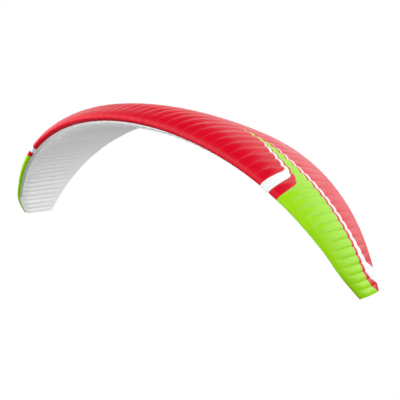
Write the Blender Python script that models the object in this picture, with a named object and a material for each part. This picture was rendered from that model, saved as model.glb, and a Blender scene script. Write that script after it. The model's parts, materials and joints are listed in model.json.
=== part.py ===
"""Ram-air wing of a paramotor, as it flies: a cloth arc of ballooned cells.

The wing flies towards -Y. X runs along the span, with +X on the pilot's left, Y runs back
from the leading edge to the trailing edge, and Z points up.
The origin lies on the chord of the middle section, 30 % back from the leading edge,
where the air carries the wing.

The wing is built in bays of a few cells. Each bay has an upper and a lower panel, and
between two bays stands a load rib with the tabs that the lines are tied to.
Ribs are counted from the left tip (+X): rib 0 closes that tip, and rib CELLS the other.
"""
import math

import bpy
import numpy as np

# Driving dimensions, in metres and radians
CELLS = 63
HALF_SPAN = 5.75
ROOT_CHORD = 2.84
CARRIED_AT = 0.30
ARC_ANGLE = (0.909, 0.373, -0.134)
LEADING_SWEEP = (1.281, -0.372, 0.470)
TRAILING_SWEEP = (0.393, 0.465, -0.237)
WASHOUT = (0.066, -0.114)
CELL_TAPER = 0.35

# Section of a rib, as parts of its chord
THICKNESS = 0.132
UPPER_SHARE = 1.42
LOWER_SHARE = 0.58
DROOP = 0.023
DROOP_AT = 0.16
LIP_AT = 0.045
INTAKE_END = 0.072
CLOSED_END = 0.055

# Cloth between the ribs
UPPER_BULGE = 0.10
LOWER_BULGE = 0.05
NOSE_FADE = 0.16
TAIL_FADE = 0.30
HALF_TRAILING_EDGE = 0.004

# Load ribs, their tabs and the gaps between the solids
LOAD_RIBS = (0, 4, 8, 13, 15, 20, 25, 30)
RIB_THICKNESS = 0.006
GAP = 0.0003
LINE_ROWS = (("A", 0.13), ("B", 0.34), ("C", 0.60))
TAB_WIDTH = 0.030
TAB_LENGTH = 0.025
BRAKE_RIBS = (4, 8, 13, 20)
BRAKE_TAB_LENGTH = 0.015

# Ribs where the upper cloth changes colour: green, red, white, red from the tip inwards
STRIPE_RIBS = (13, 14, 15)

# Fineness of the faceted surfaces
ARC_STEPS = 400
SPAN_STEPS_PER_CELL = 4
UPPER_STEPS = 12
LOWER_STEPS = 9

# Colours, roughness
RED = (0.72, 0.010, 0.035)
GREEN = (0.33, 0.75, 0.012)
WHITE = (0.86, 0.88, 0.88)
UNDERSIDE = (0.80, 0.81, 0.82)
RIB_CLOTH = (0.62, 0.63, 0.64)


def clear_scene():
    """Removes every object of the scene that the script runs in."""
    for item in list(bpy.data.objects):
        bpy.data.objects.remove(item, do_unlink=True)


def make_material(name, colour, roughness):
    """Makes a plain cloth material."""
    material = bpy.data.materials.new(name)
    material.use_nodes = True
    shader = material.node_tree.nodes["Principled BSDF"]
    shader.inputs["Base Color"].default_value = (*colour, 1.0)
    shader.inputs["Roughness"].default_value = roughness
    shader.inputs["Metallic"].default_value = 0.0
    return material


def sum_of_powers(factors, powers, u):
    """Sums factor * u**power."""
    return sum(factor * u**power for factor, power in zip(factors, powers))


def arc_angle(u):
    """Slope of the arc at u, the part of the half span from the middle (0) to the tip (1)."""
    return sum_of_powers(ARC_ANGLE, (1, 3, 6), u)


def arc_points():
    """Runs along the arc from the middle to the tip and adds up its way out and down."""
    u = np.linspace(0.0, 1.0, ARC_STEPS)
    slope = arc_angle(u)
    out = np.concatenate([[0.0], np.cumsum(0.5 * (np.cos(slope[1:]) + np.cos(slope[:-1])))])
    down = np.concatenate([[0.0], np.cumsum(0.5 * (np.sin(slope[1:]) + np.sin(slope[:-1])))])
    step = HALF_SPAN / (ARC_STEPS - 1)
    return u, out * step, -down * step


ARC = arc_points()


def rib_place(k):
    """Signed part of the half span where rib k stands, k in cells from the left tip.
    The cells narrow towards the tips."""
    t = 1.0 - 2.0 * k / CELLS
    return t * (1.0 - CELL_TAPER * t * t / 3.0) / (1.0 - CELL_TAPER / 3.0)


def section(place):
    """Nose point, chord direction, normal direction, chord and span direction of the section
    at a place. The first two directions lie in the section's plane, the last stands on it."""
    u = abs(place)
    side = math.copysign(1.0, place)
    slope = arc_angle(u)
    x = side * np.interp(u, ARC[0], ARC[1])
    z = np.interp(u, ARC[0], ARC[2])
    nose_y = sum_of_powers(LEADING_SWEEP, (2, 4, 8), u)
    tail_y = ROOT_CHORD - sum_of_powers(TRAILING_SWEEP, (2, 4, 8), u)
    chord = tail_y - nose_y
    twist = sum_of_powers(WASHOUT, (2, 4), u)
    straight_back = np.array([0.0, 1.0, 0.0])
    outward = np.array([side * math.sin(slope), 0.0, math.cos(slope)])
    along = straight_back * math.cos(twist) + outward * math.sin(twist)
    normal = outward * math.cos(twist) - straight_back * math.sin(twist)
    spanwise = np.array([math.cos(slope), 0.0, -side * math.sin(slope)])
    pivot = np.array([x, nose_y + CARRIED_AT * (chord - ROOT_CHORD), z])
    return pivot - CARRIED_AT * chord * along, along, normal, chord, spanwise


def half_thickness(x):
    """Half thickness of the symmetric section at x, both as parts of the chord."""
    curve = (
        0.2969 * np.sqrt(x) - 0.1260 * x - 0.3516 * x**2 + 0.2843 * x**3 - 0.1036 * x**4
    )
    return 5.0 * THICKNESS * curve


def upper_height(x, chord):
    """Height of a rib's upper edge above its chord line, in metres."""
    return chord * UPPER_SHARE * half_thickness(x) + HALF_TRAILING_EDGE * x


def droop(x):
    """Extra depth of the lower edge behind the nose, as a part of the chord: a smooth hump
    that rises with the square of x and is DROOP deep where x is DROOP_AT."""
    ratio = x / DROOP_AT
    return DROOP * ratio**2 * np.exp(2.0 * (1.0 - ratio))


def lower_height(x, chord):
    """Height of a rib's lower edge, below zero, in metres."""
    depth = LOWER_SHARE * half_thickness(x) + droop(x)
    return -chord * depth - HALF_TRAILING_EDGE * x


def parting_height(x, chord):
    """Height of the straight line from the lip under the nose to the trailing edge.
    The upper panel lies above it and the lower panel below."""
    lip = lower_height(LIP_AT, chord)
    return lip * (1.0 - x) / (1.0 - LIP_AT)


def bulge(x, share, width, across):
    """Ballooning of the cloth between two ribs: nothing at the ribs, most in the middle,
    and fading out towards the nose and the trailing edge."""
    fade_in = np.clip(x / NOSE_FADE, 0.0, 1.0)
    fade_out = np.clip((1.0 - x) / TAIL_FADE, 0.0, 1.0)
    chordwise = np.sin(fade_in * math.pi / 2) * np.sin(fade_out * math.pi / 2)
    return share * width * 4.0 * across * (1.0 - across) * chordwise


def chord_stations(first, last, steps):
    """Places along the chord, closer together towards the nose."""
    start = math.acos(1.0 - 2.0 * first)
    end = math.acos(1.0 - 2.0 * last)
    angles = np.linspace(start, end, steps + 1)
    return 0.5 * (1.0 - np.cos(angles))


def in_space(frame, x, height, shift):
    """Turns chord fractions and heights of one section into points in space, moved sideways
    out of the section's plane by shift."""
    nose, along, normal, chord, spanwise = frame
    return nose + np.outer(x * chord, along) + np.outer(height, normal) + shift * spanwise


def clearance(k):
    """Room that a panel leaves beside rib k: for the load rib that stands there, or else
    half the gap to the next panel, which is sewn to it without a load rib."""
    if min(k, CELLS - k) in LOAD_RIBS:
        return 0.5 * RIB_THICKNESS + GAP
    return 0.5 * GAP


def panel_stations(first_rib, last_rib):
    """Span stations of a panel: place, width of the cell, how far across the cell, and the
    sideways shift that keeps its two ends clear of what stands beside them."""
    stations = []
    for step in range((last_rib - first_rib) * SPAN_STEPS_PER_CELL + 1):
        cell, part = divmod(step, SPAN_STEPS_PER_CELL)
        across = part / SPAN_STEPS_PER_CELL
        near = rib_place(first_rib + cell)
        far = rib_place(min(first_rib + cell + 1, last_rib))
        place = near + (far - near) * across
        width = abs(far - near) * HALF_SPAN
        stations.append([place, width, across, 0.0])
    stations[0][3] = -clearance(first_rib)
    stations[-1][3] = clearance(last_rib)
    return stations


def upper_loop(place, width, across, shift, front_edge):
    """Outline of an upper panel's section: over the top from the trailing edge to the nose,
    round to the lip, and back along the parting line by way of the intake's rear edge."""
    frame = section(place)
    chord = frame[3]
    over = chord_stations(0.0, 1.0, UPPER_STEPS)[::-1]
    top = upper_height(over, chord) + bulge(over, UPPER_BULGE, width, across)
    under = chord_stations(0.0, LIP_AT, 2)[1:]
    front = lower_height(under, chord)
    back = np.array([front_edge, 1.0])
    floor = parting_height(back, chord) + 0.5 * GAP
    x = np.concatenate([over, under, back])
    height = np.concatenate([top, front, floor])
    return in_space(frame, x, height, shift)


def lower_loop(place, width, across, shift, front_edge):
    """Outline of a lower panel's section: under the wing from the trailing edge to the front
    edge, and back along the parting line."""
    frame = section(place)
    chord = frame[3]
    under = chord_stations(front_edge, 1.0, LOWER_STEPS)[::-1]
    bottom = lower_height(under, chord) - bulge(under, LOWER_BULGE, width, across)
    back = np.array([front_edge, 1.0])
    roof = parting_height(back, chord) - 0.5 * GAP
    x = np.concatenate([under, back])
    height = np.concatenate([bottom, roof])
    return in_space(frame, x, height, shift)


def loft(name, loops, material):
    """Makes a closed solid through section outlines that follow each other across the span.
    Every face between two outlines is cut along the same diagonal, so that neighbouring
    solids keep their gap."""
    count = len(loops[0])
    points = np.concatenate(loops)
    faces = []
    for row in range(len(loops) - 1):
        here = row * count
        there = here + count
        for i in range(count):
            j = (i + 1) % count
            faces.append((here + i, here + j, there + j))
            faces.append((here + i, there + j, there + i))
    faces.append(tuple(range(count))[::-1])
    faces.append(tuple(range(len(points) - count, len(points))))
    return make_object(name, points, faces, material)


def make_object(name, points, faces, material):
    """Makes a named object from points and faces, with the faces turned outwards."""
    mesh = bpy.data.meshes.new(name)
    mesh.from_pydata([tuple(point) for point in points], [], faces)
    mesh.update()
    if signed_volume(mesh) < 0.0:
        mesh.flip_normals()
    mesh.materials.append(material)
    made = bpy.data.objects.new(name, mesh)
    bpy.context.scene.collection.objects.link(made)
    return made


def signed_volume(mesh):
    """Volume inside the mesh, below zero where its faces point inwards."""
    mesh.calc_loop_triangles()
    corners = [[mesh.vertices[i].co for i in tri.vertices] for tri in mesh.loop_triangles]
    return sum(a.dot(b.cross(c)) for a, b, c in corners) / 6.0


def tab_outline(frame, at):
    """Four corners of a line tab below the rib, front to back."""
    chord = frame[3]
    half = 0.5 * TAB_WIDTH / chord
    x = np.array([at - half, at - half, at + half, at + half])
    edge = lower_height(x, chord)
    lowest = lower_height(np.array([at]), chord)[0] - TAB_LENGTH
    return x, np.array([edge[0], lowest, lowest, edge[3]])


def rib_outline(frame, with_brake_tab, front_edge):
    """Outline of a load rib, as chord fractions and heights: over the top to the nose, under
    it to the lip, straight across the intake, then back along the lower edge with its tabs."""
    chord = frame[3]
    over = chord_stations(0.0, 1.0, UPPER_STEPS)[::-1]
    under = chord_stations(0.0, LIP_AT, 2)[1:]
    xs = [over, under]
    heights = [upper_height(over, chord), lower_height(under, chord)]
    lower = chord_stations(front_edge, 1.0, LOWER_STEPS)
    rest = lower
    for _, at in LINE_ROWS:
        tab_x, tab_height = tab_outline(frame, at)
        before = rest[rest < tab_x[0]]
        rest = rest[rest > tab_x[-1]]
        xs += [before, tab_x]
        heights += [lower_height(before, chord), tab_height]
    xs.append(rest)
    heights.append(lower_height(rest, chord))
    if with_brake_tab:
        end = 1.0 + BRAKE_TAB_LENGTH / chord
        xs.append(np.array([end, end]))
        heights.append(np.array([-HALF_TRAILING_EDGE, HALF_TRAILING_EDGE]))
    return np.concatenate(xs), np.concatenate(heights)


def side_name(first, last):
    """Side of the wing that ribs or bays belong to."""
    middle = first + last
    if middle == CELLS:
        return "middle"
    return "left" if middle < CELLS else "right"


def intake_end(first_rib, last_rib):
    """Where the lower panel starts: close behind the lip in the tip bays, which are closed,
    and behind the intake in all others."""
    return CLOSED_END if min(first_rib, CELLS - last_rib) == 0 else INTAKE_END


def build_rib(k, number, material):
    """Load rib k: a plate of cloth with its tabs, with the rib's place in its middle."""
    from_tip = min(k, CELLS - k)
    frame = section(rib_place(k))
    x, height = rib_outline(frame, from_tip in BRAKE_RIBS, intake_end(k, k))
    half = 0.5 * RIB_THICKNESS
    loops = [in_space(frame, x, height, shift) for shift in (half, -half)]
    loft(f"rib_{side_name(k, k)}_{number}", loops, material)


def build_panel(kind, section_loop, ribs, number, material):
    """One panel between two ribs, through the section outlines of its kind."""
    front_edge = intake_end(*ribs)
    loops = [section_loop(*station, front_edge) for station in panel_stations(*ribs)]
    side = side_name(*ribs)
    label = side if side == "middle" else f"{side}_{number}"
    loft(f"{kind}_panel_{label}", loops, material)


def upper_colour(inner_rib):
    """Name of the colour of the upper panel whose inner edge is at a rib."""
    if inner_rib <= STRIPE_RIBS[0]:
        return "green"
    return "white" if inner_rib == STRIPE_RIBS[2] else "red"


def both_sides(outer_rib, inner_rib):
    """The pair of ribs on the left side, and the same pair on the right side."""
    return (outer_rib, inner_rib), (CELLS - inner_rib, CELLS - outer_rib)


def build_wing():
    """All ribs and panels, numbered from 1 at the middle to the tip on each side."""
    materials = {
        "red": make_material("cloth_red", RED, 0.45),
        "green": make_material("cloth_green", GREEN, 0.45),
        "white": make_material("cloth_white", WHITE, 0.45),
        "underside": make_material("cloth_underside", UNDERSIDE, 0.50),
        "rib": make_material("rib_cloth", RIB_CLOTH, 0.60),
    }
    for number, k in enumerate(LOAD_RIBS[::-1], 1):
        build_rib(k, number, materials["rib"])
        build_rib(CELLS - k, number, materials["rib"])
    middle = (LOAD_RIBS[-1], CELLS - LOAD_RIBS[-1])
    build_panel("upper", upper_loop, middle, 0, materials["red"])
    build_panel("lower", lower_loop, middle, 0, materials["underside"])
    edges = sorted({*LOAD_RIBS, *STRIPE_RIBS}, reverse=True)
    for number, (inner_rib, outer_rib) in enumerate(zip(edges[:-1], edges[1:]), 1):
        material = materials[upper_colour(inner_rib)]
        for ribs in both_sides(outer_rib, inner_rib):
            build_panel("upper", upper_loop, ribs, number, material)
    edges = LOAD_RIBS[::-1]
    for number, (inner_rib, outer_rib) in enumerate(zip(edges[:-1], edges[1:]), 1):
        for ribs in both_sides(outer_rib, inner_rib):
            build_panel("lower", lower_loop, ribs, number, materials["underside"])


clear_scene()
build_wing()
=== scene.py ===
"""Looks of a paramotor wing in flight: sewn ripstop cloth over 63 ballooned cells.

The wing flies towards -Y, X runs along the span and Z points up. A place on the cloth has
two coordinates: k counts cells from the left tip (+X), and x is the part of the chord behind
the leading edge. Every surface below is worked out from them, with sizes close to those of
the CAD part.
"""
import json
import math

import bmesh
import bpy
import numpy as np
from mathutils import Matrix, Vector

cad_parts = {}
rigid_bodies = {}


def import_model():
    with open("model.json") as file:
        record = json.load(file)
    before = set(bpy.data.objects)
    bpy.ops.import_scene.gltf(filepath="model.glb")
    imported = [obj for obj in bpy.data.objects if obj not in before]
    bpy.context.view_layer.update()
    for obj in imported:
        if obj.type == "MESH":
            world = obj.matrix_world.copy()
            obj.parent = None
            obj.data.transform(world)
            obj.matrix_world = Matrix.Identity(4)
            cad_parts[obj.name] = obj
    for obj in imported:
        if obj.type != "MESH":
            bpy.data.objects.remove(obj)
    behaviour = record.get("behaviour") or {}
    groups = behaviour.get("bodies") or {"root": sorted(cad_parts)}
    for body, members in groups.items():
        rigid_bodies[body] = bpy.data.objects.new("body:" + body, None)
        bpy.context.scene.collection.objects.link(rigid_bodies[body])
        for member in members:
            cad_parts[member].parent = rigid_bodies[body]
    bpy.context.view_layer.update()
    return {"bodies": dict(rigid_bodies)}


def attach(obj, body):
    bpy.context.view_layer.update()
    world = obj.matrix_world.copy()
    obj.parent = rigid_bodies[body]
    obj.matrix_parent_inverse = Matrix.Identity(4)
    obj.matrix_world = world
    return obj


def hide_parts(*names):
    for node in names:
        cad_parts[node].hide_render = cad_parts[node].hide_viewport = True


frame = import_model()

# The wing's form, in metres and radians, close to the CAD part's
CELLS = 63
HALF_SPAN = 5.755
ROOT_CHORD = 2.84
CARRIED_AT = 0.30
CELL_TAPER = 0.35
ARC_STEPS = 400

# Factors and powers of the arc's slope, the two edges' sweep and the twist
ARC_ANGLE = (0.897, 0.430, -0.182)
ARC_POWERS = (1, 3, 6)
LEADING_SWEEP = (1.281, -0.372, 0.470)
TRAILING_SWEEP = (0.481, 0.330, -0.185)
SWEEP_POWERS = (2, 4, 8)
WASHOUT = (0.066, -0.114)
WASHOUT_POWERS = (2, 4)

# Near each tip the nose stands further out: how far, where, and over what part of the half span
TIP_FULLNESS = (0.050, 0.92, 0.06)

# The section of a rib, as parts of its chord
THICKNESS = 0.132
UPPER_SHARE = 1.42
LOWER_SHARE = 0.58
DROOP = 0.017
DROOP_AT = 0.16
LIP_AT = 0.033
INTAKE_END = 0.072

# The cloth between the ribs: how far it balloons, as parts of a cell's width, the balloon's
# form, the parts of the chord over which it fades in and out, and the trailing edge's scallops
UPPER_BULGE = 0.168
LOWER_BULGE = 0.175
FULLNESS = 0.85
NOSE_FADE = 0.18
NOSE_FADE_POWER = 1.2
TAIL_FADE = 0.90
TAIL_SCALLOP = 0.006
SCALLOP_POWER = 12

# Cells at each tip whose intakes are closed
CLOSED_CELLS = 4

# Cloth ribs: how far inside the skins they end, how deep they are cut across the intake, the
# part of the chord that they cover, and the step of tone from one rib to the next
WALL_INSET = 0.001
INTAKE_CUT = 0.014
WALL_REACH = (0.0008, 0.9992)
WALL_TONE_STEP = 0.37

# Load ribs of one side, counted from the tip, those with a brake loop, and the places of the
# line loops along the chord
LOAD_RIBS = (0, 4, 8, 13, 15, 20, 25, 30)
BRAKE_RIBS = (4, 8, 13, 20)
LINE_ROWS = (0.13, 0.34, 0.60)

# Loops: half width and depth, how far line loops reach into the cloth, and the webbing's
# width and thickness
LINE_LOOP = (0.013, 0.024)
BRAKE_LOOP = (0.007, 0.014)
LOOP_SUNK = 0.002
WEBBING = (0.009, 0.0018)

# Hems: half width and half thickness of the folded tape, the power of its oval, the way
# round it in its texture, and the step of turn over which an edge's slope is taken
LIP_HEM = (0.007, 0.0016)
TAIL_HEM = (0.008, 0.0020)
OVAL_POWER = 0.6
TAPE_WRAP = 0.02
SLOPE_STEP = 0.01

# The rib at which the left outer skins end, and the CAD panels that the skins stand for:
# the panels of each side are numbered from the middle to the tip
OUTER_SKIN_END = 20
INNER_PANELS = range(1, 3)
OUTER_PANELS = {"upper": range(3, 9), "lower": range(3, 8)}

# Fineness of the meshes, the distance in metres within which points are joined, and the part
# of the unit square that a sheet's map fills
CELL_STEPS = 12
HEM_CELL_STEPS = 6
UPPER_STEPS = 150
LOWER_STEPS = 90
WALL_STEPS = 110
WALL_ROWS = 6
HEM_ROUND = 10
LOOP_STEPS = 18
MERGE_REACH = 0.00001
UNIT_FILL = 0.96

# Where the cloth changes colour, as (x, k) on the front seams and (k, x) on the rear ones
FRONT_SEAMS = {
    "front_white_inner": (
        (0.0, 15.0), (0.22, 15.2), (0.285, 15.45), (0.315, 16.2), (0.358, 17.4), (0.398, 18.5),
        (0.428, 19.04), (0.477, 20.05), (0.492, 21.55), (0.51, 22.55), (0.56, 24.2),
    ),
    "front_white_outer": (
        (0.0, 14.0), (0.10, 14.13), (0.248, 14.42), (0.313, 15.05), (0.333, 15.44), (0.354, 16.2),
        (0.39, 17.4), (0.45, 19.04), (0.478, 20.1), (0.492, 21.6), (0.51, 22.6), (0.56, 24.4),
    ),
    "front_green_edge": (
        (0.0, 13.0), (0.20, 13.4), (0.262, 13.69), (0.315, 14.35), (0.342, 15.05), (0.361, 15.44),
        (0.378, 16.2), (0.406, 17.4), (0.463, 19.04), (0.478, 20.0), (0.492, 21.5), (0.51, 22.5),
        (0.56, 24.0),
    ),
}
REAR_SEAMS = {
    "rear_green_edge": (
        (0, 0.93), (1, 0.58), (2, 0.478), (3, 0.458), (5.5, 0.483), (14, 0.483), (17, 0.497),
        (19.5, 0.525), (22.5, 0.512),
    ),
    "rear_white_front": (
        (1, 1.02), (1.65, 0.775), (2.1, 0.65), (2.9, 0.565), (5.4, 0.553), (9, 0.537),
        (13, 0.521), (16.6, 0.515), (18.3, 0.544), (21, 0.58),
    ),
    "rear_white_back": (
        (3, 1.02), (4.1, 0.725), (5.35, 0.68), (6.6, 0.638), (9, 0.592), (12, 0.572),
        (16.6, 0.543), (18.5, 0.563), (21, 0.575),
    ),
}

# The seams in the order in which their colours are laid over one another, and the colour that
# begins at each
STRIPES = (
    ("front_green_edge", "Red"), ("front_white_outer", "White"), ("front_white_inner", "Red"),
    ("rear_green_edge", "Red"), ("rear_white_front", "White"), ("rear_white_back", "Red"),
)

# Half width of the blend between two colours, the distance over which a seam ends, and a
# distance beyond every seam, all in metres
COLOUR_BLEND = 0.001
SEAM_END = 0.004
FAR = 10.0

# Colours, linear
RED = (0.66, 0.0015, 0.018)
GREEN = (0.33, 0.71, 0.004)
WHITE = (0.88, 0.89, 0.89)
UNDERSIDE = (0.87, 0.87, 0.87)
LINING = (0.78, 0.785, 0.785)
RIB_CLOTH = (0.86, 0.87, 0.87)
WEBBING_WHITE = (0.80, 0.80, 0.81)
STITCHES = (0.6, 0.6, 0.6)
FULL_WHITE = (1.0, 1.0, 1.0)
BLACK = (0.0, 0.0, 0.0)

# Light that comes through the cloth: the inner side's glow, and how the ribs' glow grows with
# the light that falls on them, up to a most
INNER_GLOW = (0.07, 0.07, 0.07)
THROUGH_WALLS = 0.50
MOST_THROUGH_WALLS = 0.22

# Painted shade along the lip, under the nose: where it fades out, in metres from the lip, and its
# tone
LIP_SHADE_BAND = (0.02, 0.08)
LIP_SHADE_TONE = 0.68

# The cloth's finish: how cloudy patches change the roughness, and its gloss
PATCH_RANGE = (0.3, 0.7)
ROUGHNESS_CHANGE = (-0.03, 0.04)
CLOTH_SPECULAR = 0.16
SHEEN_ROUGHNESS = 0.30

# Tone: how far it changes, the seed of the cells' tones, and the cloudy patches' form
CLOTH_TONE_CHANGE = 0.03
TAPE_TONE_CHANGE = 0.06
TONE_SEED = 63
CLOUD_SCALE = 2.2
CLOUD_DETAIL = 4.0
CLOUD_ROUGHNESS = 0.6

# The weave: size of the net, where a thread of it fades out as parts of a square, fineness of
# the threads between, and the two heights in metres
NET_SIZE = 0.005
NET_THREAD = (0.09, 0.02)
FINE_THREADS = 900.0
NET_HEIGHT = 0.00006
FINE_HEIGHT = 0.00003

# Sewn seams, in metres: the rows' distance from a rib and from a joint, the way from stitch to
# stitch, where a thread fades out, its height, and the fold's reach and depth. The gap between
# two stitches is in parts of the way between them, and the cover is the share of their colour.
RIB_ROW = 0.004
JOINT_ROW = 0.005
STITCH_PITCH = 0.0045
STITCH_THREAD = (0.0010, 0.0003)
STITCH_GAP = (0.08, 0.16)
STITCH_HEIGHT = 0.0004
STITCH_COVER = 0.35
FOLD_REACH = 0.012
FOLD_DEPTH = 0.0002

# Puckers and waves: how closely the folds follow each other across and along a seam, their
# roughness, the factor and base of the power by which they die away from it, and the wide
# waves' closeness and height in metres
PUCKER_STRETCH = (5.0, 26.0, 1.0)
PUCKER_ROUGHNESS = 0.45
PUCKER_FADE = -22.0
EULER = 2.718
WAVE_SCALE = 3.5
WAVE_HEIGHT = 0.0016

# Woven tape: closeness, unevenness, height and darkness of its ribs, and its gloss
TAPE_RIBS = 160.0
TAPE_UNEVEN = 0.4
TAPE_RIB_HEIGHT = 0.0003
TAPE_BUMP = 0.6
TAPE_SHADE = 0.18
TAPE_ROUGHNESS = (0.55, 0.68)
TAPE_SPECULAR = 0.25

# The camera of the photograph
CAMERA_AT = (9.625, -10.163, 0.607)
CAMERA_AZIMUTH = -0.677
CAMERA_ELEVATION = -0.1564
CAMERA_ROLL = 0.066
CAMERA_LENS = 61.72
SENSOR = 36.0

# The floor: its height, its half size, and its light in reflections
FLOOR_Z = -9.0
FLOOR_REACH = 400.0
FLOOR_ALBEDO = 0.35
FLOOR_ROUGHNESS = 0.9
MIRRORED_FLOOR = 0.03

# Each soft light, window and dark corner has a direction towards it, a strength and a power,
# which is higher for a smaller one. The soft lights light the wing.
SOFT_LIGHTS = (
    ((-0.36, -0.84, 0.40), 5.15, 6.2),
    ((0.70, 0.59, 0.40), 8.1, 12.0),
)

# The rest is seen in reflections alone. The walls begin, and the ceiling takes over, between
# two heights each, the sines of the angle above the horizon. The ceiling keeps a share of the
# walls' light, and the dark corner's strength is the share that it takes away.
FRONT_WINDOW = ((0.35, -0.78, 0.52), 7.0, 10.0)
BACK_WINDOW = ((0.25, 0.86, 0.45), 0.7, 6.0)
SIDE_WINDOW = ((-0.84, -0.54, 0.05), 2.4, 10.0)
WALLS_FROM = (-0.45, 0.0)
WALL_LEVEL = 1.2
CEILING_FROM = (0.46, 0.84)
CEILING_SHARE = 0.0
DARK_CORNER = ((0.05, -0.99, 0.0), 0.85, 7.0)

# The light over the floor in front of the wing: place, size and power
FLOOR_LIGHT = ((-9.0, -9.5, -5.0), 10.0, 3600.0)

# How far apart the nodes lie in Blender's node editor
NODE_SPACING = 190.0


def sum_of_powers(factors, powers, u):
    """Sums factor * u**power."""
    return sum(factor * u**power for factor, power in zip(factors, powers))


def arc_angle(u):
    """Slope of the wing's arc at u, the part of the half span from the middle to the tip."""
    return sum_of_powers(ARC_ANGLE, ARC_POWERS, u)


def arc_points():
    """The arc from the middle to the tip: u, way out and height, as sums of small steps
    along the slope."""
    u = np.linspace(0.0, 1.0, ARC_STEPS)
    slope = arc_angle(u)
    out = np.concatenate([[0.0], np.cumsum(0.5 * (np.cos(slope[1:]) + np.cos(slope[:-1])))])
    down = np.concatenate([[0.0], np.cumsum(0.5 * (np.sin(slope[1:]) + np.sin(slope[:-1])))])
    step = HALF_SPAN / (ARC_STEPS - 1)
    return u, out * step, -down * step


ARC = arc_points()


def rib_place(k):
    """Signed part of the half span where k lies; the cells narrow towards the tips."""
    t = 1.0 - 2.0 * k / CELLS
    return t * (1.0 - CELL_TAPER * t * t / 3.0) / (1.0 - CELL_TAPER / 3.0)


def cell_places(k):
    """Place across the span, width of the cell and part of the way across it, for each k.
    Inside a cell the place runs evenly from rib to rib."""
    cell = np.minimum(np.floor(k), CELLS - 1)
    across = k - cell
    near = rib_place(cell)
    far = rib_place(cell + 1)
    return near + (far - near) * across, np.abs(far - near) * HALF_SPAN, across


def sections(place):
    """Sections at places across the span: nose point, chord direction, normal direction,
    spanwise direction and chord, each as an array with one row for a place."""
    u = np.abs(place)
    side = np.where(place < 0.0, -1.0, 1.0)
    slope = arc_angle(u)
    twist = sum_of_powers(WASHOUT, WASHOUT_POWERS, u)
    depth, centre, spread = TIP_FULLNESS
    fullness = depth * np.exp(-(((u - centre) / spread) ** 2))
    nose_y = sum_of_powers(LEADING_SWEEP, SWEEP_POWERS, u) - fullness
    chord = ROOT_CHORD - sum_of_powers(TRAILING_SWEEP, SWEEP_POWERS, u) - nose_y
    zero = np.zeros_like(u)
    back = np.stack([zero, zero + 1.0, zero], -1)
    outward = np.stack([side * np.sin(slope), zero, np.cos(slope)], -1)
    spanwise = np.stack([np.cos(slope), zero, -side * np.sin(slope)], -1)
    cos, sin = np.cos(twist)[:, None], np.sin(twist)[:, None]
    along = back * cos + outward * sin
    normal = outward * cos - back * sin
    _, out, height = ARC
    pivot_y = nose_y + CARRIED_AT * (chord - ROOT_CHORD)
    pivot = np.stack([side * np.interp(u, ARC[0], out), pivot_y, np.interp(u, ARC[0], height)], -1)
    nose = pivot - (CARRIED_AT * chord)[:, None] * along
    return nose, along, normal, spanwise, chord


def rib_section(k):
    """The section at one rib, in the same order."""
    return [value[0] for value in sections(rib_place(np.array([float(k)])))]


def half_thickness(x):
    """Half thickness at x, as a part of the chord: the common thickness curve of symmetric
    sections, with its own factors."""
    curve = 0.2969 * np.sqrt(x) - 0.1260 * x - 0.3516 * x**2 + 0.2843 * x**3 - 0.1036 * x**4
    return 5.0 * THICKNESS * curve


def droop(x):
    """Extra depth of the lower edge behind the nose: a smooth hump that is DROOP deep
    where x is DROOP_AT."""
    ratio = x / DROOP_AT
    return DROOP * ratio**2 * np.exp(2.0 * (1.0 - ratio))


def edge_height(x, upper):
    """Height of a rib's upper or lower edge over its chord line, as a part of the chord."""
    above = UPPER_SHARE * half_thickness(x)
    below = -LOWER_SHARE * half_thickness(x) - droop(x)
    return np.where(upper, above, below)


def parabola(across):
    """One in the middle of a cell and zero at its ribs."""
    return 4.0 * across * (1.0 - across)


def balloon(x, share, width, across):
    """Ballooning of the cloth between two ribs, in metres: a parabola across the cell, to
    the power FULLNESS, that fades in behind the nose and out before the trailing edge."""
    rise = 0.5 - 0.5 * np.cos(np.clip(x / NOSE_FADE, 0.0, 1.0) * math.pi)
    fade_out = np.sin(np.clip((1.0 - x) / TAIL_FADE, 0.0, 1.0) * math.pi / 2)
    return share * width * parabola(across) ** FULLNESS * rise**NOSE_FADE_POWER * fade_out


def turn_at(x):
    """The turn at which the section reaches x."""
    return math.acos(1.0 - 2.0 * x)


def x_at(turn):
    """The x that the section reaches at a turn."""
    return 0.5 * (1.0 - np.cos(turn))


def on_cloth(k, turn, share):
    """Points of the cloth on the grid of k and turn. The turn is an angle that gives x, on
    the upper side where it is above zero and on the lower side where it is below."""
    place, width, across = cell_places(k)
    nose, along, normal, _, chord = sections(place)
    turn = np.broadcast_to(turn, (len(k), np.shape(turn)[-1]))
    x = x_at(turn)
    upper = turn >= 0.0
    ballooned = balloon(x, share, width[:, None], across[:, None])
    height = edge_height(x, upper) * chord[:, None] + np.where(upper, ballooned, -ballooned)
    scallop = TAIL_SCALLOP * parabola(across)[:, None] * x**SCALLOP_POWER
    way = x * chord[:, None] - scallop
    points = nose[:, None] + way[..., None] * along[:, None] + height[..., None] * normal[:, None]
    return points, x


def cell_stations(first, last, steps=CELL_STEPS):
    """Stations k from one rib to another, closer together at the ribs where the cloth
    has its creases."""
    across = x_at(np.linspace(0.0, math.pi, steps + 1)[:-1])
    cells = np.arange(first, last)
    return np.append((cells[:, None] + across).ravel(), float(last))


def from_tip(k):
    """Cells between k and the nearer tip: the wing's colours are the same on both sides."""
    return np.minimum(k, CELLS - k)


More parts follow.
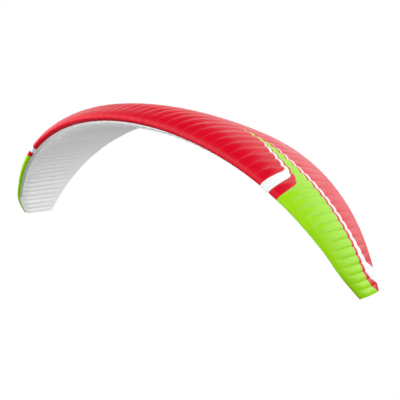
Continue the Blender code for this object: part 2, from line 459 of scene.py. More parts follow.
def seam_curve(points):
    """A smooth curve through a seam's few points, and its slope: cubic pieces whose slopes
    at the points are the harmonic means of the straight slopes beside them."""
    at, value = np.array(points, float).T
    step = np.diff(at)
    straight = np.diff(value) / step
    before, after = straight[:-1], straight[1:]
    same_way = before * after > 0.0
    both = np.where(same_way, before + after, 1.0)
    inner = np.where(same_way, 2.0 * before * after / both, 0.0)
    slopes = np.concatenate([straight[:1], inner, straight[-1:]])

    def curve(place):
        place = np.clip(place, at[0], at[-1])
        i = np.clip(np.searchsorted(at, place, side="right") - 1, 0, len(step) - 1)
        s = (place - at[i]) / step[i]
        rise = value[i + 1] - value[i]
        a, b = step[i] * slopes[i], step[i] * slopes[i + 1]
        height = value[i] + s * a + s * s * (3 * rise - 2 * a - b) + s**3 * (a + b - 2 * rise)
        tilt = (a + 2 * s * (3 * rise - 2 * a - b) + 3 * s * s * (a + b - 2 * rise)) / step[i]
        return height, tilt

    return curve


def seam_distances(k, x):
    """Signed distances in metres from each point of the cloth to the six colour seams. A
    front seam is k = f(x) and its distance is above zero inside it. A rear seam is x = f(k)
    and its distance is above zero behind it. Both are divided by their gradient."""
    tip = from_tip(k)
    place, width, _ = cell_places(k)
    chord = sections(place.ravel())[4].reshape(place.shape)
    found = {}
    for name, points in FRONT_SEAMS.items():
        seam, tilt = seam_curve(points)(x)
        found[name] = (tip - seam) / np.hypot(1.0 / width, tilt / chord)
    for name, points in REAR_SEAMS.items():
        seam, tilt = seam_curve(points)(tip)
        found[name] = (x - seam) / np.hypot(1.0 / chord, tilt / width)
    return found


def lengths_along(points, axis):
    """Distance run along one axis of a grid of points, in metres."""
    steps = np.linalg.norm(np.diff(points, axis=axis), axis=-1)
    start = np.zeros_like(np.take(steps, [0], axis=axis))
    return np.concatenate([start, np.cumsum(steps, axis=axis)], axis=axis)


def fill_mesh(name, points, faces, uvs, attributes):
    """Makes an object from points, quads, named UV values for each point and named numbers
    for each point, all given as arrays."""
    mesh = bpy.data.meshes.new(name)
    mesh.vertices.add(len(points))
    mesh.vertices.foreach_set("co", points.astype(np.float32).ravel())
    mesh.loops.add(faces.size)
    mesh.loops.foreach_set("vertex_index", faces.astype(np.int32).ravel())
    mesh.polygons.add(len(faces))
    starts = np.arange(0, faces.size, faces.shape[1], dtype=np.int32)
    mesh.polygons.foreach_set("loop_start", starts)
    mesh.polygons.foreach_set("use_smooth", np.ones(len(faces), bool))
    mesh.update(calc_edges=True)
    for label, uv in uvs.items():
        layer = mesh.uv_layers.new(name=label, do_init=False)
        layer.uv.foreach_set("vector", uv[faces.ravel()].astype(np.float32).ravel())
    for label, values in attributes.items():
        attribute = mesh.attributes.new(label, "FLOAT", "POINT")
        attribute.data.foreach_set("value", values.astype(np.float32).ravel())
    mesh.validate()
    made = bpy.data.objects.new(name, mesh)
    bpy.context.scene.collection.objects.link(made)
    return made


def grid_faces(rows, columns, flip=False):
    """Quads of a grid of points that are numbered row by row."""
    index = np.arange(rows * columns).reshape(rows, columns)
    corners = [index[:-1, :-1], index[1:, :-1], index[1:, 1:], index[:-1, 1:]]
    quads = np.stack(corners, -1).reshape(-1, 4)
    return quads[:, ::-1] if flip else quads


def unit_map(rows, columns):
    """UV values that spread a grid over the unit square, for the finish of a whole piece."""
    across, down = np.meshgrid(np.linspace(0, 1, columns), np.linspace(0, 1, rows))
    return 0.5 + UNIT_FILL * (np.stack([across, down], -1).reshape(-1, 2) - 0.5)


def sheet_object(name, points, metres, attributes, flip=False):
    """Makes a sheet of cloth from a grid of points, with its two sets of UV values: the place
    on the cloth in metres, and the grid spread over the unit square."""
    rows, columns = points.shape[:2]
    uvs = {"cloth_metres": np.stack(metres, -1).reshape(-1, 2), "OFBake": unit_map(rows, columns)}
    faces = grid_faces(rows, columns, flip)
    return fill_mesh(name, points.reshape(-1, 3), faces, uvs, attributes)


def cloth_attributes(k, x, width, across, length):
    """The numbers that the cloth's materials read: distances to the colour seams, to the
    nearest rib, to the nearer of the front and rear edges and to the front edge, which is the
    lip of the upper cloth, and a tone for each cell."""
    values = seam_distances(k, x)
    values["to_rib"] = np.minimum(across, 1.0 - across) * width
    values["to_edge"] = np.minimum(length, length.max(axis=1, keepdims=True) - length)
    values["to_lip"] = length
    tones = np.random.default_rng(TONE_SEED).random(CELLS)
    values["cell_tone"] = tones[np.minimum(np.floor(k), CELLS - 1).astype(int)]
    return values


def skin(name, first, last, turn, share, flip):
    """A sheet of cloth over the cells from one rib to another, as a grid of k and turn, and
    its flat size."""
    k = cell_stations(first, last)
    points, x = on_cloth(k, turn, share)
    columns = x.shape[1]
    length = lengths_along(points, 1)
    run = lengths_along(points, 0)
    k_grid = np.repeat(k[:, None], columns, 1)
    _, width, across = cell_places(k_grid)
    place = cell_places(k)[0] * HALF_SPAN
    metres = [np.repeat(place[:, None], columns, 1), length]
    attributes = cloth_attributes(k_grid, x, width, across, length)
    made = sheet_object(name, points, metres, attributes, flip)
    return made, (round(float(run[-1].max()), 3), round(float(length[:, -1].max()), 3))


def upper_skin(name, first, last):
    """Upper cloth, from the lip under the nose over the top to the trailing edge."""
    turn = np.linspace(-turn_at(LIP_AT), math.pi, UPPER_STEPS + 1)
    return skin(name, first, last, turn, UPPER_BULGE, flip=True)


def lower_skin(name, first, last):
    """Lower cloth, from the intakes' rear edge to the trailing edge. In the closed cells at
    the tips it runs on to the lip."""
    k = cell_stations(first, last)
    closed = np.clip(CLOSED_CELLS - from_tip(k), 0.0, 0.5) * 2.0
    start = turn_at(INTAKE_END) + (turn_at(LIP_AT) - turn_at(INTAKE_END)) * closed
    part = np.linspace(0.0, 1.0, LOWER_STEPS + 1)
    turn = -(start[:, None] + (math.pi - start[:, None]) * part)
    return skin(name, first, last, turn, LOWER_BULGE, flip=False)


def cell_wall(k):
    """Cloth rib at k and its flat size: a grid of x and height between the two edges of the
    section, just inside the skins, with a shallow curved cut across the intake. The number
    through is the light that comes through the thin cloth. It grows with the cosine between
    the rib's face and the front light."""
    turn = np.linspace(turn_at(WALL_REACH[0]), turn_at(WALL_REACH[1]), WALL_STEPS + 1)
    x = x_at(turn)
    nose, along, normal, spanwise, chord = rib_section(k)
    top = edge_height(x, True) * chord - WALL_INSET
    bottom = edge_height(x, False) * chord + WALL_INSET
    if CLOSED_CELLS <= from_tip(k):
        across_intake = np.clip((x - LIP_AT) / (INTAKE_END - LIP_AT), 0.0, 1.0)
        bottom = bottom + INTAKE_CUT * np.sin(math.pi * across_intake)
    top = np.maximum(top, bottom)
    part = np.linspace(0.0, 1.0, WALL_ROWS + 1)
    height = bottom[:, None] + (top - bottom)[:, None] * part
    points = nose + (x * chord)[:, None, None] * along + height[..., None] * normal
    to_edge = np.minimum(top[:, None] - height, height - bottom[:, None])
    facing = spanwise @ np.array(SOFT_LIGHTS[0][0])
    through = np.clip(-THROUGH_WALLS * facing, 0.0, MOST_THROUGH_WALLS)
    numbers = {"to_rib": to_edge, "to_edge": to_edge,
               "cell_tone": np.full(height.shape, (k * WALL_TONE_STEP) % 1.0),
               "through": np.full(height.shape, through)}
    metres = [np.repeat((x * chord)[:, None], len(part), 1), height]
    made = sheet_object(f"cell_wall_{k:02d}", points, metres, numbers)
    return made, (round(float(chord), 3), round(float((top - bottom).max()), 3))


def flat_oval(half_width, half_depth, count):
    """Outline of a folded tape: a flat oval, fuller than an ellipse because its cos and sin
    are taken to the power OVAL_POWER."""
    angle = np.linspace(0.0, 2.0 * math.pi, count, endpoint=False)
    wide = np.sign(np.cos(angle)) * np.abs(np.cos(angle)) ** OVAL_POWER
    thick = np.sign(np.sin(angle)) * np.abs(np.sin(angle)) ** OVAL_POWER
    return half_width * wide, half_depth * thick


def tube(name, rings, numbers):
    """Closed tubes from rings of points, an array of tubes, rings, points round and three.
    Each end is closed by drawing its ring in to a point."""
    ends = rings.mean(axis=2, keepdims=True)
    rings = np.concatenate([np.repeat(ends[:, :1], rings.shape[2], 2), rings,
                            np.repeat(ends[:, -1:], rings.shape[2], 2)], 1)
    tubes, count, around = rings.shape[:3]
    index = np.arange(tubes * count * around).reshape(tubes, count, around)
    ahead = np.roll(index, -1, axis=2)
    corners = [index[:, :-1], ahead[:, :-1], ahead[:, 1:], index[:, 1:]]
    quads = np.stack(corners, -1).reshape(-1, 4)
    run = np.broadcast_to(lengths_along(rings, 1), index.shape)
    turn = np.broadcast_to(np.arange(around) / around * TAPE_WRAP, index.shape)
    uvs = {"cloth_metres": np.stack([turn, run], -1).reshape(-1, 2)}
    attributes = {}
    for label, value in numbers.items():
        value = np.broadcast_to(value, (tubes, count - 2, around))
        attributes[label] = np.concatenate([value[:, :1], value, value[:, -1:]], 1)
    made = fill_mesh(name, rings.reshape(-1, 3), quads, uvs, attributes)
    merge_ends(made)
    return made


def merge_ends(made):
    """Joins the points of each drawn-in end into one and turns the faces outwards."""
    shape = bmesh.new()
    shape.from_mesh(made.data)
    bmesh.ops.remove_doubles(shape, verts=shape.verts, dist=MERGE_REACH)
    bmesh.ops.recalc_face_normals(shape, faces=shape.faces)
    shape.to_mesh(made.data)
    shape.free()


def edge_slope(turn):
    """Slope of the section's edge at a turn, from two points close together."""
    near = np.array([abs(turn) - SLOPE_STEP, abs(turn)])
    x = x_at(near)
    height = edge_height(x, turn > 0.0)
    return math.atan2(height[1] - height[0], x[1] - x[0])


def hem(name, first, last, turn, share, size, x_for_colour, coloured_side=1.0):
    """Folded tape along an edge of the cloth at one turn: a flat oval carried along k. Its
    coloured side is its upper half, or its lower half where coloured_side is -1."""
    k = cell_stations(first, last, HEM_CELL_STEPS)
    points, _ = on_cloth(k, np.array([turn]), share)
    _, along, normal, _, _ = sections(cell_places(k)[0])
    wide, thick = flat_oval(*size, HEM_ROUND)
    slope = edge_slope(turn)
    level = along * math.cos(slope) + normal * math.sin(slope)
    upright = normal * math.cos(slope) - along * math.sin(slope)
    rings = points + wide[None, :, None] * level[:, None] + thick[None, :, None] * upright[:, None]
    numbers = seam_distances(k, np.full(k.shape, x_for_colour))
    numbers = {label: value[None, :, None] for label, value in numbers.items()}
    numbers["coloured"] = (coloured_side * thick > 0.0).astype(float)
    return tube(name, rings[None], numbers)


def loops(name, places, half_width, depth, backwards):
    """Webbing loops at places (k, x) on the ribs' lower edges: a strap carried along half an
    ellipse. It hangs below the edge and begins a little inside the cloth. Backwards, it
    stands upright behind the edge."""
    way = np.linspace(0.0, math.pi, LOOP_STEPS + 1)
    wide, thick = flat_oval(WEBBING[0] / 2, WEBBING[1] / 2, HEM_ROUND)
    across, down = -half_width * np.cos(way), depth * np.sin(way)
    tilt = np.stack([np.cos(way) / half_width, np.sin(way) / depth], 0)
    tilt = tilt / np.linalg.norm(tilt, axis=0)
    rings = []
    for k, x in places:
        nose, along, normal, spanwise, chord = rib_section(k)
        edge = nose + x * chord * along + edge_height(np.array(x), False) * chord * normal
        first, second = (-normal, along) if backwards else (along, -normal)
        start = edge + (0.0 if backwards else LOOP_SUNK) * normal
        path = start + across[:, None] * first + down[:, None] * second
        facing = -tilt[0][:, None] * first + tilt[1][:, None] * second
        rings.append(path[:, None] + wide[None, :, None] * spanwise
                     + thick[None, :, None] * facing[:, None])
    return tube(name, np.array(rings), {})


def opaque(colour):
    """A colour as the nodes take it, with its fourth number."""
    return (*colour, 1.0)


def add(tree, kind, inputs=None, **settings):
    """Adds a node to a tree, sets its settings, and links or sets its inputs."""
    node = tree.nodes.new(kind)
    node.location.x = NODE_SPACING * len(tree.nodes)
    for key, value in settings.items():
        setattr(node, key, value)
    for key, value in (inputs or {}).items():
        if isinstance(value, bpy.types.NodeSocket):
            tree.links.new(value, node.inputs[key])
        else:
            node.inputs[key].default_value = value
    return node


def calc(tree, operation, *values):
    """Adds a Math node and gives its result."""
    return add(tree, "ShaderNodeMath", dict(enumerate(values)), operation=operation).outputs[0]


def ramp(tree, value, low, high, start=0.0, end=1.0):
    """Adds a smooth Map Range from low to high and gives its result."""
    inputs = {"Value": value, "From Min": low, "From Max": high, "To Min": start, "To Max": end}
    node = add(tree, "ShaderNodeMapRange", inputs, interpolation_type="SMOOTHSTEP")
    return node.outputs["Result"]


def blend_colour(tree, share, first, second):
    """Adds a Mix node for colours and gives its result."""
    node = add(tree, "ShaderNodeMix", {0: share, 6: first, 7: second}, data_type="RGBA")
    return node.outputs[2]


def mix_shaders(tree, share, first, second):
    """Adds a Mix Shader node and gives its result."""
    return add(tree, "ShaderNodeMixShader", {0: share, 1: first, 2: second}).outputs[0]


def noise(tree, vector, scale, detail, **inputs):
    """Adds a Noise node and gives its result."""
    values = {"Vector": vector, "Scale": scale, "Detail": detail, **inputs}
    return add(tree, "ShaderNodeTexNoise", values).outputs[0]


def new_group(name, inputs, outputs):
    """Makes a shader node group with named inputs (kind, value) and outputs (kind)."""
    group = bpy.data.node_groups.new(name, "ShaderNodeTree")
    for label, (kind, value) in inputs.items():
        socket = group.interface.new_socket(label, in_out="INPUT", socket_type="NodeSocket" + kind)
        if value is not None:
            socket.default_value = value
    for label, kind in outputs.items():
        group.interface.new_socket(label, in_out="OUTPUT", socket_type="NodeSocket" + kind)
    start = group.nodes.new("NodeGroupInput").outputs
    return group, start


def close_group(group, **results):
    """Links a group's results to its outputs of the same names."""
    end = group.nodes.new("NodeGroupOutput")
    for label, value in results.items():
        group.links.new(value, end.inputs[label])


def weave_group():
    """Ripstop weave: thicker threads in a square net, and a fine thread texture between
    them. Height is in metres."""
    inputs = {"Vector": ("Vector", None), "Net": ("Float", NET_SIZE)}
    group, start = new_group("ripstop weave", inputs, {"Height": "Float"})
    split = add(group, "ShaderNodeSeparateXYZ", {0: start["Vector"]}).outputs
    threads = []
    for axis in (0, 1):
        part = calc(group, "PINGPONG", calc(group, "DIVIDE", split[axis], start["Net"]), 0.5)
        threads.append(ramp(group, part, *NET_THREAD))
    net = calc(group, "MAXIMUM", *threads)
    fine = noise(group, start["Vector"], FINE_THREADS, 2.0)
    height = calc(group, "ADD", calc(group, "MULTIPLY", net, NET_HEIGHT),
                  calc(group, "MULTIPLY", fine, FINE_HEIGHT))
    close_group(group, Height=height)
    return group


def seam_group():
    """Sewn seam: two rows of stitches beside a line, and the soft dip that they pull. Takes
    the distance from the line and the way along it, in metres."""
    inputs = {"Distance": ("Float", 0.0), "Along": ("Float", 0.0), "Row": ("Float", RIB_ROW),
              "Pitch": ("Float", STITCH_PITCH)}
    group, start = new_group("sewn seam", inputs, {"Height": "Float", "Stitch": "Float"})
    away = calc(group, "ABSOLUTE", start["Distance"])
    off_row = calc(group, "ABSOLUTE", calc(group, "SUBTRACT", away, start["Row"]))
    row = ramp(group, off_row, *STITCH_THREAD)
    beat = calc(group, "PINGPONG", calc(group, "DIVIDE", start["Along"], start["Pitch"]), 0.5)
    stitch = calc(group, "MULTIPLY", row, ramp(group, beat, *STITCH_GAP))
    fold = ramp(group, away, FOLD_REACH, 0.0)
    height = calc(group, "SUBTRACT", calc(group, "MULTIPLY", stitch, STITCH_HEIGHT),
                  calc(group, "MULTIPLY", fold, FOLD_DEPTH))
    close_group(group, Height=height, Stitch=stitch)
    return group


def pucker_group():
    """Puckers: short folds that run out square from a seam and die away, and faint wide
    waves over the whole cloth. Height is in metres."""
    inputs = {"Vector": ("Vector", None), "Distance": ("Float", 0.0), "Depth": ("Float", 0.0)}
    group, start = new_group("seam puckers", inputs, {"Height": "Float"})
    stretched = add(group, "ShaderNodeMapping", {"Vector": start["Vector"],
                                                 "Scale": PUCKER_STRETCH}).outputs[0]
    folds = noise(group, stretched, 1.0, 2.0, Roughness=PUCKER_ROUGHNESS)
    waves = noise(group, start["Vector"], WAVE_SCALE, 1.0)
    near = calc(group, "POWER", EULER, calc(group, "MULTIPLY", start["Distance"], PUCKER_FADE))
    fold_height = calc(group, "MULTIPLY", calc(group, "MULTIPLY", folds, near), start["Depth"])
    height = calc(group, "ADD", fold_height, calc(group, "MULTIPLY", waves, WAVE_HEIGHT))
    close_group(group, Height=height)
    return group


def tone_group():
    """Tone of used cloth: each panel was cut from its own stretch of the roll, and handling
    leaves faint cloudy patches. The cloth close to the lip, on the nose's underside, is darker:
    painted shade."""
    inputs = {"Color": ("Color", opaque(FULL_WHITE)), "Vector": ("Vector", None),
              "Cell": ("Float", 0.5), "Amount": ("Float", CLOTH_TONE_CHANGE),
              "Lip": ("Float", 1.0)}
    group, start = new_group("cloth tone and lip shade", inputs, {"Color": "Color", "Patch": "Float"})
    cloud = noise(group, start["Vector"], CLOUD_SCALE, CLOUD_DETAIL, Roughness=CLOUD_ROUGHNESS)
    patch = calc(group, "SUBTRACT", cloud, 0.5)
    panel = calc(group, "SUBTRACT", start["Cell"], 0.5)
    change = calc(group, "MULTIPLY", calc(group, "ADD", patch, panel), start["Amount"])
    # painted shade: the cloth darkens towards the lip, on the nose's underside
    lip_shade = ramp(group, start["Lip"], *LIP_SHADE_BAND, LIP_SHADE_TONE, 1.0)
    tone = calc(group, "MULTIPLY", calc(group, "ADD", 1.0, change), lip_shade)
    toned = add(group, "ShaderNodeHueSaturation", {"Value": tone, "Color": start["Color"]})
    close_group(group, Color=toned.outputs[0], Patch=cloud)
    return group


def stripe_group():
    """Colours of the upper cloth from the distances to its six seams: green at the tip,
    two red and two white stripes, and red inside and behind them. A seam ends where the
    colours on its two sides are the same."""
    inputs = {name: ("Float", 0.0) for name, _ in STRIPES}
    for label, colour in (("Red", RED), ("Green", GREEN), ("White", WHITE)):
        inputs[label] = ("Color", opaque(colour))
    group, start = new_group("stripe colours", inputs, {"Color": "Color", "Seam": "Float"})
    colour = start["Green"]
    past_green = ramp(group, start["front_green_edge"], 0.0, SEAM_END)
    behind_green = ramp(group, start["rear_green_edge"], 0.0, SEAM_END)
    stripe_width = calc(group, "SUBTRACT", start["rear_white_front"], start["rear_white_back"])
    no_stripe = ramp(group, stripe_width, SEAM_END, 0.0)
    ended = (behind_green, behind_green, behind_green, past_green, no_stripe, no_stripe)
    nearest = FAR
    for (name, label), end in zip(STRIPES, ended):
        over = ramp(group, start[name], -COLOUR_BLEND, COLOUR_BLEND)
        colour = blend_colour(group, over, colour, start[label])
        away = calc(group, "ADD", calc(group, "ABSOLUTE", start[name]), end)
        nearest = calc(group, "MINIMUM", nearest, away)
    close_group(group, Color=colour, Seam=nearest)
    return group


def new_material(name):
    """Makes an empty material and gives it, its tree and its shader."""
    material = bpy.data.materials.new(name)
    material.use_nodes = True
    tree = material.node_tree
    return material, tree, tree.nodes["Principled BSDF"]


def set_shader(tree, shader, **values):
    """Links or sets the shader's inputs; an underscore in a name stands for a space."""
    for label, value in values.items():
        socket = shader.inputs[label.replace("_", " ")]
        if isinstance(value, bpy.types.NodeSocket):
            tree.links.new(value, socket)
        else:
            socket.default_value = value


def grouped(tree, group, inputs):
    """Places an effect group in a material and gives its outputs."""
    return add(tree, "ShaderNodeGroup", inputs, node_tree=group).outputs


def number(tree, name):
    """Reads one of a piece's own numbers."""
    return add(tree, "ShaderNodeAttribute", attribute_name=name).outputs["Fac"]


def stripe_colour(tree, groups):
    """Colour of the upper cloth and the distance from its nearest colour seam."""
    inputs = {name: number(tree, name) for name, _ in STRIPES}
    return grouped(tree, groups["stripes"], inputs)


def cloth_places(tree):
    """The place on the cloth in metres, and the place in space."""
    metres = add(tree, "ShaderNodeUVMap", uv_map="cloth_metres").outputs[0]
    return metres, add(tree, "ShaderNodeTexCoord").outputs["Object"]


def cloth_material(name, groups, colour, lining, roughness, sheen, pucker_depth, rib=False):
    """Coated ripstop cloth. The colour is fixed, or the stripes where it is None. The inner
    side has the lining's colour and glows faintly. A rib glows on both sides, by how much
    light comes through it."""
    material, tree, shader = new_material(name)
    metres, place = cloth_places(tree)
    to_rib = number(tree, "to_rib")
    tone_inputs = {"Vector": place, "Cell": number(tree, "cell_tone")}
    if colour is None:
        stripes = stripe_colour(tree, groups)
        seam = stripes["Seam"]
        # the distance to the lip sets the painted shade under the nose
        tone_inputs.update({"Color": stripes["Color"], "Lip": number(tree, "to_lip")})
    else:
        seam = number(tree, "to_edge")
        tone_inputs["Color"] = opaque(colour)
    along = add(tree, "ShaderNodeSeparateXYZ", {0: metres}).outputs[1]
    weave = grouped(tree, groups["weave"], {"Vector": metres})
    sewn = grouped(tree, groups["seam"], {"Distance": to_rib, "Along": along})
    joint = grouped(tree, groups["seam"], {"Distance": seam, "Along": along, "Row": JOINT_ROW})
    puckers = grouped(tree, groups["pucker"], {"Vector": metres, "Distance": to_rib,
                                               "Depth": pucker_depth})
    tone = grouped(tree, groups["tone"], tone_inputs)
    stitches = calc(tree, "MAXIMUM", sewn["Stitch"], joint["Stitch"])
    cover = calc(tree, "MULTIPLY", stitches, STITCH_COVER)
    stitched = blend_colour(tree, cover, tone["Color"], opaque(STITCHES))
    side = add(tree, "ShaderNodeNewGeometry").outputs["Backfacing"]
    base = blend_colour(tree, side, stitched, opaque(lining))
    rough = ramp(tree, tone["Patch"], *PATCH_RANGE,
                 *(roughness + change for change in ROUGHNESS_CHANGE))
    height = calc(tree, "ADD", calc(tree, "ADD", weave["Height"], sewn["Height"]),
                  calc(tree, "ADD", joint["Height"], puckers["Height"]))
    bump = add(tree, "ShaderNodeBump", {"Height": height, "Distance": 1.0, "Strength": 1.0})
    if rib:
        glow = blend_colour(tree, number(tree, "through"), opaque(INNER_GLOW), opaque(FULL_WHITE))
    else:
        glow = blend_colour(tree, side, opaque(BLACK), opaque(INNER_GLOW))
    set_shader(tree, shader, Base_Color=base, Roughness=rough, Normal=bump.outputs[0],
               Emission_Color=glow, Emission_Strength=1.0, Specular_IOR_Level=CLOTH_SPECULAR,
               Sheen_Weight=sheen, Sheen_Roughness=SHEEN_ROUGHNESS)
    return material


def tape_material(name, groups, colour):
    """Folded woven tape along an edge, in the colours of the cloth or in one of its own."""
    material, tree, shader = new_material(name)
    metres, place = cloth_places(tree)
    if colour is None:
        base = blend_colour(tree, number(tree, "coloured"), opaque(UNDERSIDE),
                            stripe_colour(tree, groups)["Color"])
    else:
        base = opaque(colour)
    tone = grouped(tree, groups["tone"], {"Color": base, "Vector": place,
                                          "Amount": TAPE_TONE_CHANGE})
    ribs = add(tree, "ShaderNodeTexWave", {"Vector": metres, "Scale": TAPE_RIBS,
                                           "Distortion": TAPE_UNEVEN}, bands_direction="Y")
    bump = add(tree, "ShaderNodeBump", {"Height": ribs.outputs["Fac"], "Distance": TAPE_RIB_HEIGHT,
                                        "Strength": TAPE_BUMP})
    share = calc(tree, "MULTIPLY", ribs.outputs["Fac"], TAPE_SHADE)
    shade = blend_colour(tree, share, tone["Color"], opaque(BLACK))
    rough = ramp(tree, tone["Patch"], *PATCH_RANGE, *TAPE_ROUGHNESS)
    set_shader(tree, shader, Base_Color=shade, Normal=bump.outputs[0], Roughness=rough,
               Specular_IOR_Level=TAPE_SPECULAR)
    return material


def finish_piece(piece, material, slot, *nodes):
    """Gives a piece its material and hides the CAD nodes that it stands for. The slot is not used.
    """
    piece.data.materials.append(material)
    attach(piece, "root" if "root" in frame["bodies"] else next(iter(frame["bodies"])))
    if nodes:
        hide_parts(*nodes)


def area_of(piece):
    """Area of a piece's cloth in square metres."""
    mesh = piece.data
    areas = np.empty(len(mesh.polygons), np.float32)
    mesh.polygons.foreach_get("area", areas)
    return round(float(areas.sum()), 3)


def panel_nodes(kind, side, numbers):
    """Names of the CAD panels that one skin stands for."""
    return [f"{kind}_panel_{side}_{order}" for order in numbers]


def make_skins(materials):
    """Upper and lower skins in three widths each."""
    parts = (("left", 0, OUTER_SKIN_END), ("middle", OUTER_SKIN_END, CELLS - OUTER_SKIN_END),
             ("right", CELLS - OUTER_SKIN_END, CELLS))
    for kind, build in (("upper", upper_skin), ("lower", lower_skin)):
        for side, first, last in parts:
            if side == "middle":
                nodes = panel_nodes(kind, "left", INNER_PANELS)
                nodes += panel_nodes(kind, "right", INNER_PANELS) + [f"{kind}_panel_middle"]
            else:
                nodes = panel_nodes(kind, side, OUTER_PANELS[kind])
            piece, flat = build(f"{kind}_skin_{side}", first, last)
            upper_slot = "red_cloth" if side == "middle" else "green_cloth"
            slot = upper_slot if kind == "upper" else "underside_cloth"
            finish_piece(piece, materials[kind], slot, *nodes)
            area_of(piece)


def make_walls(material):
    """All cloth ribs. A load rib's wall stands for its CAD node."""
    stand_for = {}
    for order, k in enumerate(LOAD_RIBS[::-1], 1):
        stand_for[k] = f"rib_left_{order}"
        stand_for[CELLS - k] = f"rib_right_{order}"
    for k in range(CELLS + 1):
        wall, flat = cell_wall(k)
        nodes = [stand_for[k]] if k in stand_for else []
        finish_piece(wall, material, "rib_cloth", *nodes)
        area_of(wall)


def make_hems(materials):
    """Folded tapes along both lips of the intakes and along the trailing edge."""
    first, last = CLOSED_CELLS, CELLS - CLOSED_CELLS
    upper = hem("intake_hem_upper", first, last, -turn_at(LIP_AT), UPPER_BULGE, LIP_HEM, 0.0, -1.0)
    lower = hem("intake_hem_lower", first, last, -turn_at(INTAKE_END), LOWER_BULGE, LIP_HEM, 0.0)
    tail = hem("trailing_hem", 0, CELLS, math.pi, UPPER_BULGE, TAIL_HEM, 1.0)
    finish_piece(upper, materials["hem"], "red_cloth")
    finish_piece(lower, materials["pale_hem"], "underside_cloth")
    finish_piece(tail, materials["hem"], "red_cloth")


def make_loops(material):
    """Line loops below the load ribs and brake loops behind the trailing edge."""
    kinds = (("line", LOAD_RIBS, LINE_ROWS, LINE_LOOP, False),
             ("brake", BRAKE_RIBS, (1.0,), BRAKE_LOOP, True))
    for side in ("left", "right"):
        for kind, ribs, rows, size, backwards in kinds:
            places = [(k if side == "left" else CELLS - k, x) for k in ribs for x in rows]
            made = loops(f"{kind}_loops_{side}", places, *size, backwards)
            finish_piece(made, material, "rib_cloth")


def make_camera():
    """The photograph's camera, from its place, its two angles and its roll."""
    forward = Vector((math.sin(CAMERA_AZIMUTH) * math.cos(CAMERA_ELEVATION),
                      math.cos(CAMERA_AZIMUTH) * math.cos(CAMERA_ELEVATION),
                      math.sin(CAMERA_ELEVATION)))
    level = forward.cross(Vector((0.0, 0.0, 1.0))).normalized()
    upright = level.cross(forward)
    right = level * math.cos(CAMERA_ROLL) + upright * math.sin(CAMERA_ROLL)
    up = upright * math.cos(CAMERA_ROLL) - level * math.sin(CAMERA_ROLL)
    turn = Matrix((right, up, -forward)).transposed().to_4x4()
    data = bpy.data.cameras.new("camera")
    data.lens = CAMERA_LENS
    data.sensor_width = SENSOR
    camera = bpy.data.objects.new("camera", data)
    camera.matrix_world = Matrix.Translation(CAMERA_AT) @ turn
    bpy.context.scene.collection.objects.link(camera)
    bpy.context.scene.camera = camera


def make_floor():
    """Wide pale floor far below the wing. From above it is plain white to the camera and
    nearly black in reflections, and gives back about a third of the other light. From below
    it is clear, so it doesn't hide the wing."""
    mesh = bpy.data.meshes.new("floor")
    corners = [(x * FLOOR_REACH, y * FLOOR_REACH, FLOOR_Z)
               for x, y in ((-1, -1), (1, -1), (1, 1), (-1, 1))]
    mesh.from_pydata(corners, [], [(0, 1, 2, 3)])
    floor = bpy.data.objects.new("floor", mesh)
    bpy.context.scene.collection.objects.link(floor)
    material, tree, shader = new_material("pale_floor")
    albedo = (FLOOR_ALBEDO, FLOOR_ALBEDO, FLOOR_ALBEDO)
    set_shader(tree, shader, Base_Color=opaque(albedo), Roughness=FLOOR_ROUGHNESS)
    dark, white = (
        add(tree, "ShaderNodeEmission", {"Color": opaque(FULL_WHITE), "Strength": strength})
        for strength in (MIRRORED_FLOOR, 1.0))
    clear = add(tree, "ShaderNodeBsdfTransparent")
    path = add(tree, "ShaderNodeLightPath").outputs
    below = add(tree, "ShaderNodeNewGeometry").outputs["Backfacing"]
    bounce = mix_shaders(tree, path["Is Glossy Ray"], shader.outputs[0], dark.outputs[0])
    top = mix_shaders(tree, path["Is Camera Ray"], bounce, white.outputs[0])
    both = mix_shaders(tree, below, top, clear.outputs[0])
    tree.links.new(both, tree.nodes["Material Output"].inputs["Surface"])
    mesh.materials.append(material)


def soft_light(tree, direction, towards, strength, power):
    """Brightness of one large soft light around the wing: the cosine from its middle,
    raised to a power."""
    facing = add(tree, "ShaderNodeVectorMath", {0: direction, 1: towards}, operation="DOT_PRODUCT")
    lobe = calc(tree, "POWER", calc(tree, "MAXIMUM", facing.outputs["Value"], 0.0), power)
    return calc(tree, "MULTIPLY", lobe, strength)


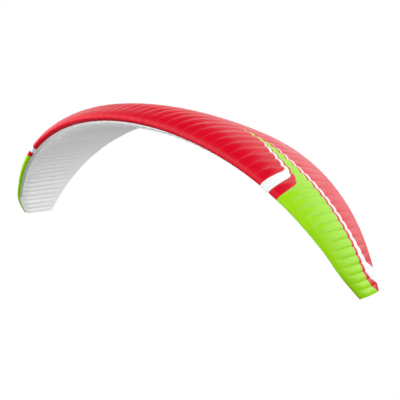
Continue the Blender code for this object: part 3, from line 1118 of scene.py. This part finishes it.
def make_world():
    """White to the camera. Two large soft lights light the wing, one in front and one behind
    it. In reflections the walls are bright, the ceiling and the corner straight ahead are
    dark, and three windows stand in front of the wing, behind it and beside it."""
    world = bpy.data.worlds.new("studio")
    world.use_nodes = True
    tree = world.node_tree
    bpy.context.scene.world = world
    direction = add(tree, "ShaderNodeTexCoord").outputs["Generated"]
    height = add(tree, "ShaderNodeSeparateXYZ", {0: direction}).outputs[2]
    level = 0.0
    for soft in SOFT_LIGHTS:
        level = calc(tree, "ADD", level, soft_light(tree, direction, *soft))
    walls = calc(tree, "MULTIPLY", ramp(tree, height, *WALLS_FROM, 0.0, WALL_LEVEL),
                 ramp(tree, height, *CEILING_FROM, 1.0, CEILING_SHARE))
    for window in (FRONT_WINDOW, BACK_WINDOW, SIDE_WINDOW):
        walls = calc(tree, "ADD", walls, soft_light(tree, direction, *window))
    kept = calc(tree, "SUBTRACT", 1.0, soft_light(tree, direction, *DARK_CORNER))
    walls = calc(tree, "MULTIPLY", walls, kept)
    light, mirrored, plain = (
        add(tree, "ShaderNodeBackground", {"Color": opaque(FULL_WHITE), "Strength": strength})
        for strength in (level, walls, 1.0))
    path = add(tree, "ShaderNodeLightPath").outputs
    lit = mix_shaders(tree, path["Is Glossy Ray"], light.outputs[0], mirrored.outputs[0])
    seen = mix_shaders(tree, path["Is Camera Ray"], lit, plain.outputs[0])
    tree.links.new(seen, tree.nodes["World Output"].inputs["Surface"])


def make_floor_light():
    """A soft square light that hangs low in front of the wing and shines straight down on the
    floor. Neither the camera nor a reflection sees it."""
    place, size, power = FLOOR_LIGHT
    data = bpy.data.lights.new("floor_light", "AREA")
    data.size = size
    data.energy = power
    light = bpy.data.objects.new("floor_light", data)
    light.location = place
    light.visible_camera = False
    light.visible_glossy = False
    bpy.context.scene.collection.objects.link(light)


make_camera()
GROUPS = {"weave": weave_group(), "seam": seam_group(), "pucker": pucker_group(),
          "tone": tone_group(), "stripes": stripe_group()}
MATERIALS = {
    "upper": cloth_material("striped_cloth", GROUPS, None, LINING,
                            roughness=0.34, sheen=0.0, pucker_depth=0.0012),
    "lower": cloth_material("underside_cloth", GROUPS, UNDERSIDE, RIB_CLOTH,
                            roughness=0.55, sheen=0.1, pucker_depth=0.0016),
    "wall": cloth_material("wall_cloth", GROUPS, RIB_CLOTH, RIB_CLOTH,
                           roughness=0.60, sheen=0.0, pucker_depth=0.0006, rib=True),
    "hem": tape_material("hem_tape", GROUPS, None),
    "pale_hem": tape_material("pale_hem_tape", GROUPS, RIB_CLOTH),
    "webbing": tape_material("loop_webbing", GROUPS, WEBBING_WHITE),
}
make_skins(MATERIALS)
make_walls(MATERIALS["wall"])
make_hems(MATERIALS)
make_loops(MATERIALS["webbing"])
make_floor()
make_world()
make_floor_light()
bpy.context.scene.view_settings.view_transform = "Standard"
